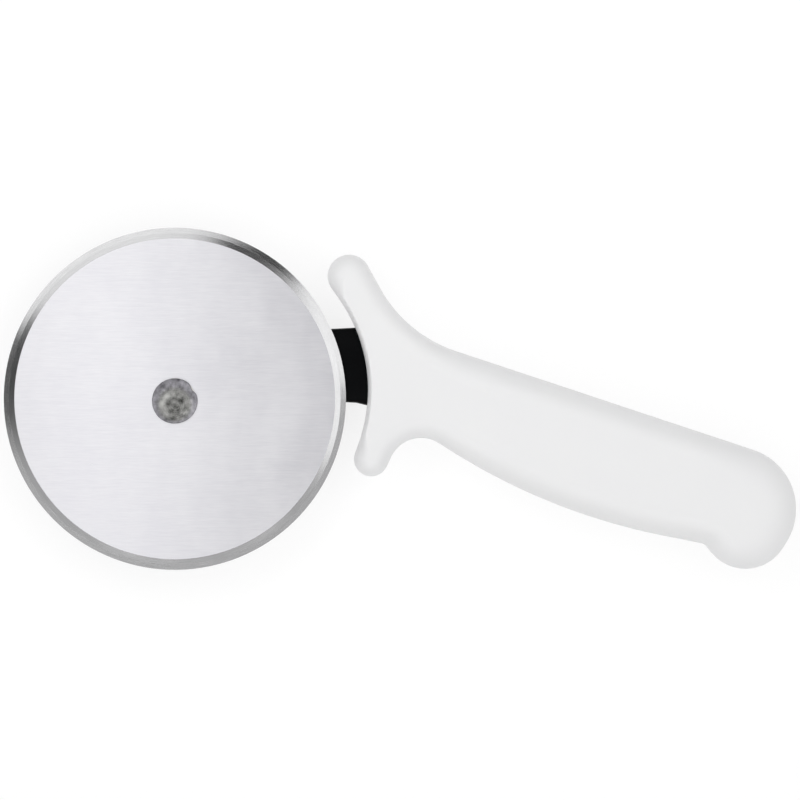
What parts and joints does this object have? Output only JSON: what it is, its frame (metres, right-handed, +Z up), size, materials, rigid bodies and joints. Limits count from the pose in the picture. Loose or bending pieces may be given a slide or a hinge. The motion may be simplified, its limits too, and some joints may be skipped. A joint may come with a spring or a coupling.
{
  "type": "pastry cutter wheel",
  "caption": "Hand cutter for pastry and pizza: a bevelled steel wheel that spins on a riveted axle at the end of a black arm, with a white moulded handle and finger guard.",
  "frame": {"origin": "on the surface that the cutter lies on, under the middle of its length and width", "axes": "+X from the wheel to the handle, +Y towards the long guard prong, +Z up out of the surface, parallel to the wheel's axle"},
  "size_m": [0.2354, 0.1016, 0.02],
  "materials": {
    "wheel_steel": "brushed faces, ground bevel",
    "bush_bronze": "machined",
    "washer_plastic": "plain natural acetal",
    "rivet_steel": "rough, orbitally peened",
    "sleeve_steel": "plain stainless",
    "arm_nylon": "satin black glass-filled nylon",
    "handle_plastic": "satin white polypropylene"
  },
  "bodies": {
    "holder": {"handle": "handle_plastic", "arm": "arm_nylon", "hub_sleeve": "sleeve_steel", "axle_rivet": "rivet_steel", "rivet_washer": "sleeve_steel", "axle_bush": "bush_bronze", "inner_washer": "washer_plastic", "outer_washer": "washer_plastic"},
    "wheel": {"cutting_wheel": "wheel_steel"}
  },
  "joints": [
    {"name": "wheel_spin", "type": "hinge", "parent": "holder", "child": "wheel", "pos_m": [-0.067, 0, 0.01225], "axis": [0, 0, 1], "continuous": true}
  ]
}
